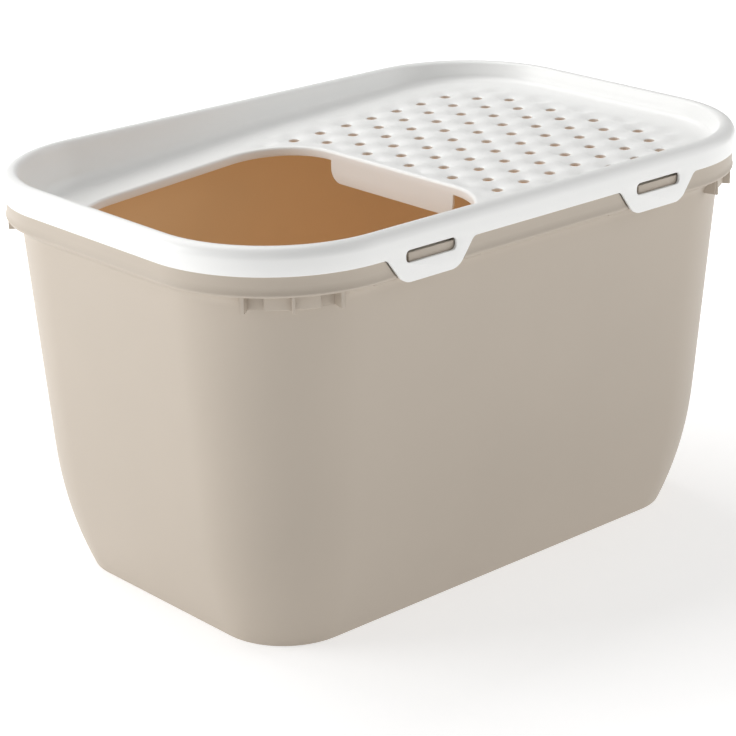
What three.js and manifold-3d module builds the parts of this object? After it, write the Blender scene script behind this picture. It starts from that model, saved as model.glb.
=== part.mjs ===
// Cat litter box with a lift-off hood and a top entry.
// Millimetres, +Z up. The origin is at the middle of the underside, on the floor.
// +X runs along the length, from the entry end to the perforated end.

import * as THREE from 'three';
import { mergeVertices } from 'three/addons/utils/BufferGeometryUtils.js';
import Module from 'manifold-3d';

const wasm = await Module();
wasm.setup();

// ---------------------------------------------------------------- driving dimensions

// Overall envelope, measured over the rim of the lid.
const LENGTH = 585;
const WIDTH = 390;
const HEIGHT = 340;
const CORNER_RADIUS = 114.5;

// Tub wall.
const TUB_WALL = 3;
const TUB_DRAFT = THREE.MathUtils.degToRad(4.85);
const WALL_INSET = 14; // outside of the wall at its top, inside the lid's edge
const FOOT_ROUND_HEIGHT = 110;
const FOOT_ROUND_INSET = 18;
const FOOT_ROUND_POWER = 2.2;

// Stepped rim of the tub.
const BAND_INSET = 2;
const BAND_HEIGHT = 16.5;
const COVE_HEIGHT = 12;

// Lid shell.
const LID_WALL = 2.6;
const SKIRT_HEIGHT = 21;
const CREST_INSET = 9; // middle of the rounded rim
const SLOPE_WIDTH = 7; // how far the inner slope comes in over SLOPE_HEIGHT
const SLOPE_HEIGHT = 18;
const LOCATING_RIB_DEPTH = 9; // below the bottom of the skirt
const LOCATING_RIB_WALL = 2;

// Deck of the lid: its front edge is the edge of the entry.
const DECK_EDGE_X = 12;
const DECK_EDGE_DROP = 25.8; // below the rim
const DECK_SLOPE = 0.0366; // perforated part
const ENTRY_SLOPE = 0.07; // floor around the entry

// Entry opening.
const ENTRY_END_MARGIN = 57.5;
const ENTRY_SIDE_MARGIN = 60;
const ENTRY_CORNER_RADIUS = 60;
const LIP_HEIGHT = 8;
const LIP_WALL = 2.4;
const APRON_HEIGHT = 27;
const APRON_CORNER_RADIUS = 12;

// Perforation: staggered rows of round holes.
const HOLE_DIAMETER = 6;
const HOLE_PITCH = 30.28;
const ROW_PITCH = 26.04;
const FIRST_HOLE_OFFSET = 21.6; // from the deck's edge, in the middle row
const HOLE_RIM_MARGIN = 60; // from the lid's outer edge to a hole's centre
const HOLE_ENTRY_MARGIN = 12; // from the entry to a hole's centre

// Flexing clip tabs on the two long sides.
const CLIP_ROOT_WIDTH = 100;
const CLIP_SHOULDER_WIDTH = 88;
const CLIP_TOE_WIDTH = 56;
const CLIP_FILLET = 6;
const CLIP_ROOT_RISE = 7; // root above the bottom of the skirt
const CLIP_REACH = 21.5; // toe below the bottom of the skirt
const CLIP_CORNER_MARGIN = 3; // root to the start of the rounded corner
const WINDOW_WIDTH = 51;
const WINDOW_HEIGHT = 9.7;
const WINDOW_RADIUS = 4;
const WINDOW_DROP = 3.7; // below the clip's root

// Catches of the tub, which stand in pockets behind the clips.
const POCKET_INSET = 5;
const POCKET_MARGIN = 1.2;
const CATCH_SIDE_GAP = 5;
const CATCH_TOP_GAP = 3;
const CATCH_LEAD_IN = 1.5;

// Grip notches under the rim, one on each corner.
const GRIP_DIRECTION = THREE.MathUtils.degToRad(56); // from the length towards the width
const GRIP_HALF_ANGLE = THREE.MathUtils.degToRad(19);
const GRIP_ROOF_WALL = 3;
const GRIP_RIB_WIDTH = 2.4;

// Clearances and fineness.
const FIT_GAP = 0.3;
const SEAT_GAP = 0.5; // between the skirt and the tub's rim
const OVERLAP = 1; // how far joined solids run into each other
const BEYOND = 20; // how far a cutter runs past what it cuts
const CORNER_STEPS = 9;
const HOLE_STEPS = 8;

const TUB_COLOUR = 0xb4a899;
const LID_COLOUR = 0xf1f1ee;

// ---------------------------------------------------------------- derived places

const SKIRT_Z = HEIGHT - SKIRT_HEIGHT;
const RIM_Z = SKIRT_Z - SEAT_GAP;
const BAND_Z = RIM_Z - BAND_HEIGHT;
const COVE_Z = BAND_Z - COVE_HEIGHT;
const HINGE_Z = SKIRT_Z + CLIP_ROOT_RISE;
const ENTRY_START_X = ENTRY_END_MARGIN - LENGTH / 2;
const ENTRY_HALF_WIDTH = WIDTH / 2 - ENTRY_SIDE_MARGIN;
const CLIP_X = LENGTH / 2 - CORNER_RADIUS - CLIP_CORNER_MARGIN - CLIP_ROOT_WIDTH / 2;
const POCKET_BACK_INSET = POCKET_INSET + TUB_WALL;
const LOCATING_RIB_INSET = POCKET_BACK_INSET + 2 * FIT_GAP;
const SIDES = [-1, 1];

// ---------------------------------------------------------------- solids and meshes

// A closed three.js geometry as a solid that can be joined and cut.
function solid(geometry) {
  geometry.deleteAttribute('normal');
  geometry.deleteAttribute('uv');
  const merged = mergeVertices(geometry, 1e-4);
  const surface = new wasm.Mesh({
    numProp: 3,
    vertProperties: new Float32Array(merged.attributes.position.array),
    triVerts: new Uint32Array(merged.index.array),
  });
  return new wasm.Manifold(surface);
}

// A solid as a named mesh of the given colour.
function piece(name, shape, colour, roughness) {
  const surface = shape.getMesh();
  const geometry = new THREE.BufferGeometry();
  geometry.setAttribute('position', new THREE.BufferAttribute(surface.vertProperties, 3));
  geometry.setIndex(new THREE.BufferAttribute(surface.triVerts, 1));
  geometry.computeVertexNormals();
  const material = new THREE.MeshStandardMaterial({ color: colour, roughness, metalness: 0 });
  const mesh = new THREE.Mesh(geometry, material);
  mesh.name = name;
  return mesh;
}

function roundedRectangle(left, right, bottom, top, radius) {
  const shape = new THREE.Shape();
  shape.absarc(right - radius, top - radius, radius, 0, Math.PI / 2);
  shape.absarc(left + radius, top - radius, radius, Math.PI / 2, Math.PI);
  shape.absarc(left + radius, bottom + radius, radius, Math.PI, Math.PI * 1.5);
  shape.absarc(right - radius, bottom + radius, radius, Math.PI * 1.5, Math.PI * 2);
  return shape;
}

function extrude(shape, depth, steps = CORNER_STEPS) {
  return new THREE.ExtrudeGeometry(shape, { depth, bevelEnabled: false, curveSegments: steps });
}

// A shape drawn in X and Z, given a thickness along Y and centred on Y = 0.
function plate(shape, thickness, steps = CORNER_STEPS) {
  const geometry = extrude(shape, thickness, steps);
  geometry.rotateX(Math.PI / 2);
  geometry.translate(0, thickness / 2, 0);
  return geometry;
}

function box(left, right, front, back, bottom, top) {
  const geometry = new THREE.BoxGeometry(right - left, back - front, top - bottom);
  geometry.translate((left + right) / 2, (front + back) / 2, (bottom + top) / 2);
  return solid(geometry);
}

// A solid with the object's rounded outline at every height. Each level is [height, inset],
// where the inset is measured inwards from the outer edge of the lid.
function loft(levels) {
  const steps = levels.length - 1;
  const outline = roundedRectangle(-LENGTH / 2, LENGTH / 2, -WIDTH / 2, WIDTH / 2, CORNER_RADIUS);
  const options = { depth: steps, steps, bevelEnabled: false, curveSegments: CORNER_STEPS };
  const geometry = new THREE.ExtrudeGeometry(outline, options);
  const position = geometry.attributes.position;
  for (let i = 0; i < position.count; i += 1) {
    const [height, inset] = levels[Math.round(position.getZ(i))];
    const x = position.getX(i);
    const y = position.getY(i);
    const centreX = Math.sign(x) * (LENGTH / 2 - CORNER_RADIUS);
    const centreY = Math.sign(y) * (WIDTH / 2 - CORNER_RADIUS);
    const scale = (CORNER_RADIUS - inset) / CORNER_RADIUS;
    position.setXYZ(i, centreX + (x - centreX) * scale, centreY + (y - centreY) * scale, height);
  }
  return solid(geometry);
}

// ---------------------------------------------------------------- tub

// How far the outside of the tub's wall stands inside the lid's edge at a height.
function wallInset(height) {
  const draft = (COVE_Z - height) * Math.tan(TUB_DRAFT);
  const below = Math.max(0, 1 - height / FOOT_ROUND_HEIGHT);
  const foot = FOOT_ROUND_INSET * below ** FOOT_ROUND_POWER;
  return WALL_INSET + draft + foot;
}

// The wall, the cove and the band of the rim, shifted inwards by a thickness.
function tubLevels(floor, thickness, top) {
  const footHeights = [0, 0.1, 0.22, 0.36, 0.52, 0.72, 1].map(
    (share) => floor + share * (FOOT_ROUND_HEIGHT - floor),
  );
  const levels = footHeights.map((height) => [height, wallInset(height) + thickness]);
  const coveShares = [0, 0.4, 0.67, 0.88, 1];
  for (const share of coveShares) {
    const angle = (share * Math.PI) / 2;
    const inset = BAND_INSET + (WALL_INSET - BAND_INSET) * Math.cos(angle) ** 1.5;
    levels.push([COVE_Z + COVE_HEIGHT * share, inset + thickness]);
  }
  levels.push([top, BAND_INSET + thickness]);
  return levels;
}

// The outline of a clip in X and Z, from its root at Z = 0. The margin widens it all round.
function clipShape(margin = 0) {
  const root = CLIP_ROOT_WIDTH / 2 + margin;
  const shoulder = CLIP_SHOULDER_WIDTH / 2 + margin;
  const toe = CLIP_TOE_WIDTH / 2 + margin;
  const skirt = -CLIP_ROOT_RISE;
  const bottom = -CLIP_ROOT_RISE - CLIP_REACH - margin;
  const side = new THREE.Vector2(shoulder - toe, skirt - bottom).setLength(CLIP_FILLET);
  const shape = new THREE.Shape();
  shape.moveTo(-root, 0);
  shape.lineTo(-root, skirt);
  shape.quadraticCurveTo(-shoulder, skirt, -shoulder + side.x, skirt - side.y);
  shape.lineTo(-toe - side.x, bottom + side.y);
  shape.quadraticCurveTo(-toe, bottom, -toe + CLIP_FILLET, bottom);
  shape.lineTo(toe - CLIP_FILLET, bottom);
  shape.quadraticCurveTo(toe, bottom, toe + side.x, bottom + side.y);
  shape.lineTo(shoulder - side.x, skirt - side.y);
  shape.quadraticCurveTo(shoulder, skirt, root, skirt);
  shape.lineTo(root, 0);
  return shape;
}

// The wall behind one clip is set back to make a pocket. Side is -1 at the front, 1 at the back.
function pocketWall(x, side) {
  const halfWidth = CLIP_ROOT_WIDTH / 2 + POCKET_MARGIN + TUB_WALL;
  const outer = side * (WIDTH / 2);
  const inner = side * (WIDTH / 2 - POCKET_BACK_INSET);
  const bottom = BAND_Z - COVE_HEIGHT / 2;
  const [front, back] = [Math.min(outer, inner), Math.max(outer, inner)];
  return box(x - halfWidth, x + halfWidth, front, back, bottom, RIM_Z);
}

function pocketCut(x, side) {
  const depth = POCKET_INSET + BEYOND;
  const geometry = plate(clipShape(POCKET_MARGIN), depth, 3);
  geometry.translate(x, side * (WIDTH / 2 - POCKET_INSET + depth / 2), HINGE_Z);
  return solid(geometry);
}

// The raised catch in a pocket stops just short of the clip, below the top of its window.
function pocketCatch(x, side) {
  const top = HINGE_Z - WINDOW_DROP - CATCH_TOP_GAP;
  const bottom = HINGE_Z - WINDOW_DROP - WINDOW_HEIGHT - CATCH_TOP_GAP;
  const face = WIDTH / 2 - LID_WALL - FIT_GAP;
  const back = WIDTH / 2 - POCKET_INSET - OVERLAP;
  const profile = new THREE.Shape();
  profile.moveTo(back, bottom);
  profile.lineTo(face, bottom);
  profile.lineTo(face, top - CATCH_LEAD_IN);
  profile.lineTo(face - CATCH_LEAD_IN, top);
  profile.lineTo(back, top);
  const width = WINDOW_WIDTH - CATCH_SIDE_GAP;
  const geometry = extrude(profile, width);
  geometry.rotateX(Math.PI / 2);
  geometry.rotateZ(Math.PI / 2);
  geometry.translate(-width / 2 + (side * CATCH_SIDE_GAP) / 2, 0, 0);
  geometry.rotateZ(side < 0 ? Math.PI : 0);
  geometry.translate(x, 0, 0);
  return solid(geometry);
}

// A sector of a ring round one rounded corner, between two insets and two heights.
function cornerSector(signX, signY, outerInset, innerInset, bottom, top) {
  const direction = Math.atan2(signY * Math.sin(GRIP_DIRECTION), signX * Math.cos(GRIP_DIRECTION));
  const from = direction - GRIP_HALF_ANGLE;
  const to = direction + GRIP_HALF_ANGLE;
  const shape = new THREE.Shape();
  shape.absarc(0, 0, CORNER_RADIUS - outerInset, from, to, false);
  shape.absarc(0, 0, CORNER_RADIUS - innerInset, to, from, true);
  const geometry = extrude(shape, top - bottom);
  const centreX = signX * (LENGTH / 2 - CORNER_RADIUS);
  const centreY = signY * (WIDTH / 2 - CORNER_RADIUS);
  geometry.translate(centreX, centreY, bottom);
  return solid(geometry);
}

function gripRib(signX, signY) {
  const direction = Math.atan2(signY * Math.sin(GRIP_DIRECTION), signX * Math.cos(GRIP_DIRECTION));
  const inner = CORNER_RADIUS - WALL_INSET - OVERLAP;
  const outer = CORNER_RADIUS - (WALL_INSET + BAND_INSET) / 2;
  const geometry = new THREE.BoxGeometry(outer - inner, GRIP_RIB_WIDTH, COVE_HEIGHT + OVERLAP);
  geometry.translate((inner + outer) / 2, 0, 0);
  geometry.rotateZ(direction);
  const centreX = signX * (LENGTH / 2 - CORNER_RADIUS);
  const centreY = signY * (WIDTH / 2 - CORNER_RADIUS);
  geometry.translate(centreX, centreY, COVE_Z + (COVE_HEIGHT + OVERLAP) / 2);
  return solid(geometry);
}

function makeTub() {
  const outside = loft(tubLevels(0, 0, RIM_Z));
  const inside = loft(tubLevels(TUB_WALL, TUB_WALL, RIM_Z + BEYOND));
  let tub = outside.subtract(inside);
  for (const x of [-CLIP_X, CLIP_X]) {
    for (const side of SIDES) {
      tub = tub.add(pocketWall(x, side).intersect(outside));
      tub = tub.subtract(pocketCut(x, side));
      tub = tub.add(pocketCatch(x, side));
    }
  }
  const backInset = WALL_INSET + TUB_WALL;
  for (const signX of SIDES) {
    for (const signY of SIDES) {
      const bottom = COVE_Z - OVERLAP;
      const roof = BAND_Z + GRIP_ROOF_WALL;
      const backing = cornerSector(signX, signY, BAND_INSET + OVERLAP, backInset, bottom, roof);
      const notch = cornerSector(signX, signY, -BEYOND, WALL_INSET, COVE_Z, BAND_Z);
      tub = tub.add(backing.intersect(outside));
      tub = tub.subtract(notch);
      tub = tub.add(gripRib(signX, signY));
    }
  }
  return piece('tub', tub, TUB_COLOUR, 0.55);
}

// ---------------------------------------------------------------- lid

// Height of the top of the deck at a place along the length.
function deckHeight(x) {
  const slope = x > DECK_EDGE_X ? DECK_SLOPE : ENTRY_SLOPE;
  return HEIGHT - DECK_EDGE_DROP + slope * (x - DECK_EDGE_X);
}

// Everything above the deck's surface when that is lowered by a drop.
function aboveDeck(drop) {
  const end = LENGTH / 2 + BEYOND;
  const top = HEIGHT + BEYOND;
  const shape = new THREE.Shape();
  shape.moveTo(-end, deckHeight(-end) - drop);
  shape.lineTo(DECK_EDGE_X, deckHeight(DECK_EDGE_X) - drop);
  shape.lineTo(end, deckHeight(end) - drop);
  shape.lineTo(end, top);
  shape.lineTo(-end, top);
  return solid(plate(shape, WIDTH + 2 * BEYOND));
}

// The dish in the top of the lid, grown outwards and downwards by a thickness.
function dish(thickness) {
  const rim = CREST_INSET + 1.5 - thickness;
  const foot = HEIGHT - 3 * SLOPE_HEIGHT;
  const levels = [
    [foot, rim + 3 + 3 * SLOPE_WIDTH],
    [HEIGHT - 2, rim + 3],
    [HEIGHT, rim],
    [HEIGHT + BEYOND, rim],
  ];
  return loft(levels).intersect(aboveDeck(thickness));
}

function entryOutline(margin) {
  return roundedRectangle(
    ENTRY_START_X - margin,
    DECK_EDGE_X + margin,
    -ENTRY_HALF_WIDTH - margin,
    ENTRY_HALF_WIDTH + margin,
    ENTRY_CORNER_RADIUS + margin,
  );
}

function entryColumn(margin) {
  const bottom = HEIGHT / 2;
  const geometry = extrude(entryOutline(margin), HEIGHT + BEYOND - bottom);
  geometry.translate(0, 0, bottom);
  return solid(geometry);
}

// The space that the apron may fill, seen from the end: square above and rounded below.
function apronSpace() {
  const halfWidth = ENTRY_HALF_WIDTH - ENTRY_CORNER_RADIUS;
  const bottom = deckHeight(DECK_EDGE_X) - APRON_HEIGHT;
  const top = HEIGHT + BEYOND;
  const shape = roundedRectangle(-halfWidth, halfWidth, bottom, top, APRON_CORNER_RADIUS);
  const geometry = plate(shape, 2 * LIP_WALL + BEYOND);
  geometry.rotateZ(Math.PI / 2);
  geometry.translate(DECK_EDGE_X, 0, 0);
  return solid(geometry);
}

// The turned-down lip round the entry, and the apron on its deck side.
function lipAndApron() {
  const band = entryColumn(LIP_WALL).subtract(entryColumn(0));
  const below = aboveDeck(LIP_HEIGHT).add(apronSpace());
  return band.intersect(below).subtract(aboveDeck(LID_WALL / 2));
}

// True where a hole has enough deck round it.
function holeFits(x, y) {
  const cornerX = Math.max(0, Math.abs(x) - (LENGTH / 2 - CORNER_RADIUS));
  const cornerY = Math.max(0, Math.abs(y) - (WIDTH / 2 - CORNER_RADIUS));
  const rimDistance = Math.min(
    CORNER_RADIUS - Math.hypot(cornerX, cornerY),
    LENGTH / 2 - Math.abs(x),
    WIDTH / 2 - Math.abs(y),
  );
  const aheadX = Math.max(0, x - (DECK_EDGE_X - ENTRY_CORNER_RADIUS));
  const besideY = Math.max(0, Math.abs(y) - (ENTRY_HALF_WIDTH - ENTRY_CORNER_RADIUS));
  const entryDistance = Math.hypot(aheadX, besideY) - ENTRY_CORNER_RADIUS;
  return rimDistance >= HOLE_RIM_MARGIN && entryDistance >= HOLE_ENTRY_MARGIN;
}

function perforate(lid) {
  const rows = Math.floor(WIDTH / 2 / ROW_PITCH);
  const columns = Math.ceil(LENGTH / HOLE_PITCH);
  const length = 2 * DECK_EDGE_DROP;
  let cutters = null;
  for (let row = -rows; row <= rows; row += 1) {
    const stagger = row % 2 === 0 ? 0 : HOLE_PITCH / 2;
    for (let column = -2; column < columns; column += 1) {
      const x = DECK_EDGE_X + FIRST_HOLE_OFFSET + stagger + column * HOLE_PITCH;
      const y = row * ROW_PITCH;
      if (holeFits(x, y)) {
        const radius = HOLE_DIAMETER / 2;
        const geometry = new THREE.CylinderGeometry(radius, radius, length, HOLE_STEPS);
        geometry.rotateX(Math.PI / 2);
        geometry.translate(x, y, deckHeight(x));
        const cutter = solid(geometry);
        cutters = cutters ? cutters.add(cutter) : cutter;
      }
    }
  }
  return cutters ? lid.subtract(cutters) : lid;
}

// The part of the skirt that belongs to one clip, with the gap round it.
function clipSlot(x, side) {
  const halfWidth = CLIP_ROOT_WIDTH / 2 + FIT_GAP;
  const outer = side * (WIDTH / 2 + BEYOND);
  const inner = side * (WIDTH / 2 - LID_WALL - FIT_GAP);
  const [front, back] = [Math.min(outer, inner), Math.max(outer, inner)];
  return box(x - halfWidth, x + halfWidth, front, back, SKIRT_Z - BEYOND, HINGE_Z + FIT_GAP);
}

function makeLid() {
  const outside = loft([
    [SKIRT_Z, 0],
    [HEIGHT - 9, 0],
    [HEIGHT - 5, 0.9],
    [HEIGHT - 2, 3.2],
    [HEIGHT - 0.5, 5.8],
    [HEIGHT, CREST_INSET - 1],
  ]);
  const underside = loft([
    [SKIRT_Z - BEYOND - LOCATING_RIB_DEPTH, LID_WALL],
    [HEIGHT - 9, LID_WALL],
    [HEIGHT - 2 * LID_WALL, LID_WALL + 2],
    [HEIGHT - LID_WALL, CREST_INSET - 1],
  ]);
  const ribLevels = (inset) => [
    [SKIRT_Z - LOCATING_RIB_DEPTH, inset],
    [HEIGHT - LID_WALL + OVERLAP, inset],
  ];
  const rib = loft(ribLevels(LOCATING_RIB_INSET)).subtract(
    loft(ribLevels(LOCATING_RIB_INSET + LOCATING_RIB_WALL)),
  );
  const floor = dish(LID_WALL);
  const block = loft([
    [HEIGHT / 2, LID_WALL],
    [HEIGHT - LID_WALL, CREST_INSET],
  ]);
  const shell = outside.subtract(underside).add(floor.intersect(block)).add(rib);
  let lid = shell.subtract(dish(0));
  lid = lid.subtract(entryColumn(0)).add(lipAndApron());
  for (const x of [-CLIP_X, CLIP_X]) {
    for (const side of SIDES) {
      lid = lid.subtract(clipSlot(x, side));
    }
  }
  return piece('lid', perforate(lid), LID_COLOUR, 0.35);
}

// ---------------------------------------------------------------- clips

// One clip tab, drawn from its root: X along the root, -Z towards its toe, outer face at Y = 0.
function makeClip(name, x, side) {
  const shape = clipShape();
  const window = roundedRectangle(
    -WINDOW_WIDTH / 2,
    WINDOW_WIDTH / 2,
    -WINDOW_DROP - WINDOW_HEIGHT,
    -WINDOW_DROP,
    WINDOW_RADIUS,
  );
  shape.holes.push(window);
  const geometry = plate(shape, LID_WALL, 5);
  geometry.translate(0, LID_WALL / 2, 0);
  const clip = piece(name, solid(geometry), LID_COLOUR, 0.35);
  clip.position.set(x, (side * WIDTH) / 2, HINGE_Z);
  clip.rotation.z = side < 0 ? 0 : Math.PI;
  return clip;
}

// ---------------------------------------------------------------- assembly

const hood = new THREE.Group();
hood.add(makeLid());
hood.add(makeClip('clip_front_left', -CLIP_X, -1));
hood.add(makeClip('clip_front_right', CLIP_X, -1));
hood.add(makeClip('clip_back_left', -CLIP_X, 1));
hood.add(makeClip('clip_back_right', CLIP_X, 1));

const litterBox = new THREE.Group();
litterBox.add(makeTub());
litterBox.add(hood);

export default litterBox;
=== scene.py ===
"""A top-entry cat litter box: a deep tapered tub under a lift-off hood with sprung side clips.

Everything is in metres, +Z up, with the origin under the middle of the tub. +X runs along
the length, from the entry end to the perforated end.
"""

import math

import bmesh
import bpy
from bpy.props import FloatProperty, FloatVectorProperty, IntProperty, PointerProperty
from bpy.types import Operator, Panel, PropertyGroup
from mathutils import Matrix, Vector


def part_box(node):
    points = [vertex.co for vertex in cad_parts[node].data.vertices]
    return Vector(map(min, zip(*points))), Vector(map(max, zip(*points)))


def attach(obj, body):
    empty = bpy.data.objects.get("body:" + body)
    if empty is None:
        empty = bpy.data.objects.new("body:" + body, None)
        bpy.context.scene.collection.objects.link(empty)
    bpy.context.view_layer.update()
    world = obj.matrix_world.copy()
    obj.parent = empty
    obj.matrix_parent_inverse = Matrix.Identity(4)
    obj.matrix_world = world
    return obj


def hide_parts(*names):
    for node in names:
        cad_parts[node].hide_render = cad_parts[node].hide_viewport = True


bl_info = {
    "name": "Cat Litter Box",
    "version": (1, 0, 0),
    "blender": (4, 5, 0),
    "location": "3D Viewport > Sidebar > Litter Box",
    "description": "Models a top-entry cat litter box with a lift-off hood, and its studio stage",
    "category": "Add Mesh",
}

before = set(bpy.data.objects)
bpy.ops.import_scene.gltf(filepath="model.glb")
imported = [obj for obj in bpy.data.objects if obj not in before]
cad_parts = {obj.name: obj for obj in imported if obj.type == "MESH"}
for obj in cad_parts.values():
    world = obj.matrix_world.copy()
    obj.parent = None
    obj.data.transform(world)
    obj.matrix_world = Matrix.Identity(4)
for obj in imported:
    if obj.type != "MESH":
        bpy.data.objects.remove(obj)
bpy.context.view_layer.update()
LID_LOW, LID_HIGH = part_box("lid")
TUB_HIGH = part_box("tub")[1]
CLIP_LOW, CLIP_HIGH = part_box("clip_front_right")

SIDES = (-1, 1)
CLIP_ENDS = {"left": -1, "right": 1}
CLIP_FACES = {"front": -1, "back": 1}

# How near two measures are to count as one.
NEAR = 1e-4
CLOSE = 1e-5
EXACT = 1e-6

SEAM = 0.00005  # between a clip and the lid
OVERLAP = 0.001  # by which a block runs into what it joins
FACING = 0.9  # least cosine between a face's normal and the way it looks
SMOOTH_ANGLE = math.radians(38)
EDGE_STEPS = 3  # segments of a small rounded edge
CORNER_STEPS = 8  # segments of a small round corner
BEAD_ROWS = (0.0011, 0.0022)  # the bead's rows above the band's lower edge
BEAD_TOP = 0.0032
ENTRY_BORDER = 0.004  # flat ring of the deck round the entry
COLLAR = 1.5  # size of a hole's collar, as a share of the hole


# ---------------- sizes and colours


def length_property(name, description, default):
    return FloatProperty(
        name=name, description=description, default=default, unit="LENGTH", precision=4
    )


def colour_property(name, description, default):
    return FloatVectorProperty(
        name=name, description=description, default=default, subtype="COLOR", min=0, max=1
    )


class LitterBoxEnvelope(PropertyGroup):
    """Sizes that the tub and the lid share."""

    length: length_property("Length", "Length over the lid's rim", LID_HIGH.x - LID_LOW.x)
    width: length_property("Width", "Width over the lid's rim", LID_HIGH.y - LID_LOW.y)
    height: length_property("Height", "Height of the lid's rim above the floor", LID_HIGH.z)
    corner_radius: length_property("Corner Radius", "Radius of the lid's corners", 0.1145)
    corner_segments: IntProperty(
        name="Corner Segments", description="Faces round each corner", default=32, min=6
    )
    hinge_height: length_property("Clip Root", "Height at which the clips bend", CLIP_HIGH.z)
    clip_x: length_property(
        "Clip Place", "Middle of a clip, from the middle of the box", (CLIP_LOW.x + CLIP_HIGH.x) / 2
    )


class LitterBoxTub(PropertyGroup):
    """Sizes of the tub."""

    wall: length_property("Wall", "Wall thickness", 0.003)
    rim_height: length_property("Rim Height", "Height of the rim", TUB_HIGH.z)
    band_inset: length_property("Band Inset", "Rim band inside the lid's edge", 0.002)
    band_height: length_property("Band Height", "Height of the rim's upright band", 0.0165)
    cove_height: length_property("Cove Height", "Height of the cove under the band", 0.012)
    wall_inset: length_property("Wall Inset", "Top of the wall inside the lid's edge", 0.014)
    draft: FloatProperty(
        name="Draft", description="Lean of the walls", default=math.radians(4.85), unit="ROTATION"
    )
    foot_height: length_property("Foot Height", "Height over which the wall curves in", 0.11)
    foot_inset: length_property("Foot Inset", "How far the foot curves in", 0.018)
    foot_power: FloatProperty(
        name="Foot Power", description="How late and how sharply the foot curves in", default=2.2
    )
    bead: length_property("Bead", "How far the band's lower bead stands out", 0.0007)
    pocket_inset: length_property("Pocket Inset", "Face of a clip's pocket", 0.005)
    grip_direction: FloatProperty(
        name="Grip Direction",
        description="Middle of a corner grip, from the length towards the width",
        default=math.radians(56),
        unit="ROTATION",
    )
    grip_panel_inset: length_property(
        "Grip Panel Inset", "Face of a grip's middle panel inside the lid's edge", 0.0085
    )
    grip_half_angle: FloatProperty(
        name="Grip Half Angle",
        description="Half the angle that a corner grip spans",
        default=math.radians(19),
        unit="ROTATION",
    )


class LitterBoxLid(PropertyGroup):
    """Sizes of the lid and its clips."""

    wall: length_property("Wall", "Wall thickness", 0.0026)
    skirt: length_property("Skirt", "Height of the skirt below the rim", 0.021)
    crest: length_property("Crest", "Middle of the rounded rim, inside the lid's edge", 0.009)
    deck_edge: length_property("Deck Edge", "Place of the deck's edge along the length", 0.012)
    deck_drop: length_property("Deck Drop", "Deck's edge below the rim", 0.0258)
    deck_slope: FloatProperty(
        name="Deck Slope", description="Rise of the perforated deck per length", default=0.0366
    )
    entry_slope: FloatProperty(
        name="Entry Slope", description="Fall of the floor round the entry", default=0.07
    )
    entry_end: length_property("Entry End", "Entry inside the lid's end", 0.0575)
    entry_side: length_property("Entry Side", "Entry inside the lid's sides", 0.06)
    entry_radius: length_property("Entry Radius", "Radius of the entry's corners", 0.06)
    lip: length_property("Lip", "Height of the lip round the entry", 0.008)
    apron: length_property("Apron", "Height of the apron below the deck", 0.027)
    apron_radius: length_property("Apron Radius", "Radius of the apron's corners", 0.012)
    hole: length_property("Hole", "Diameter of a hole", 0.006)
    hole_pitch: length_property("Hole Pitch", "Distance of the holes in a row", 0.03028)
    row_pitch: length_property("Row Pitch", "Distance of the rows of holes", 0.02604)
    first_hole: length_property("First Hole", "First hole of the middle row to the edge", 0.0216)
    rim_margin: length_property("Rim Margin", "Least distance of a hole to the edge", 0.06)
    entry_margin: length_property("Entry Margin", "Least distance of a hole to the entry", 0.012)
    quilt: length_property("Quilting", "Depth of the hollows round the holes", 0.0034)
    clip_root: length_property("Clip Root", "Width of a clip at its root", 0.1)
    clip_shoulder: length_property("Clip Shoulder", "Width of a clip below the skirt", 0.088)
    clip_toe: length_property("Clip Toe", "Width of a clip at its toe", 0.056)
    clip_fillet: length_property("Clip Fillet", "Rounding of a clip's corners", 0.007)
    window_width: length_property("Window Width", "Width of a clip's window", 0.051)
    window_height: length_property("Window Height", "Height of a clip's window", 0.0097)
    window_radius: length_property("Window Radius", "Corner radius of a window", 0.004)
    window_drop: length_property("Window Drop", "Window below the clip's root", 0.0037)


class LitterBoxColours(PropertyGroup):
    """Colours of the mouldings and the stage."""

    tub: colour_property("Tub", "Outside of the tub", (0.50, 0.435, 0.362))
    inside: colour_property("Inside", "Inside of the tub", (0.71, 0.49, 0.27))
    lid: colour_property("Lid", "Lid and clips", (0.90, 0.90, 0.885))
    floor: colour_property("Floor", "Studio floor", (0.72, 0.72, 0.72))


class LitterBoxStudio(PropertyGroup):
    """The camera's place and the lights."""

    azimuth: FloatProperty(
        name="Azimuth",
        description="Camera's turn round the box",
        default=math.radians(-42.07),
        unit="ROTATION",
    )
    elevation: FloatProperty(
        name="Elevation",
        description="Camera's height angle",
        default=math.radians(18.8),
        unit="ROTATION",
    )
    roll: FloatProperty(
        name="Roll", description="Camera's tilt", default=math.radians(-0.8), unit="ROTATION"
    )
    distance: length_property("Distance", "Camera to the middle of the box", 2.04425)
    target_height: length_property("Target Height", "Height that the camera looks at", 0.2)
    lens: FloatProperty(name="Lens", description="Focal length in millimetres", default=119.0)
    shift_x: FloatProperty(name="Shift X", description="Sideways shift", default=-0.0179)
    shift_y: FloatProperty(name="Shift Y", description="Upward shift", default=-0.0899)
    sky: FloatProperty(name="Sky", description="Strength of the even white light", default=0.35)
    key: FloatProperty(name="Key", description="Key light's power", default=30, unit="POWER")
    fill: FloatProperty(name="Fill", description="Fill light's power", default=18, unit="POWER")
    top: FloatProperty(name="Top", description="Top light's power", default=32, unit="POWER")


# ---------------- modelling by hand


def deselect_all():
    if bpy.context.object and bpy.context.object.mode != "OBJECT":
        bpy.ops.object.mode_set(mode="OBJECT")
    bpy.ops.object.select_all(action="DESELECT")


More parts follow.
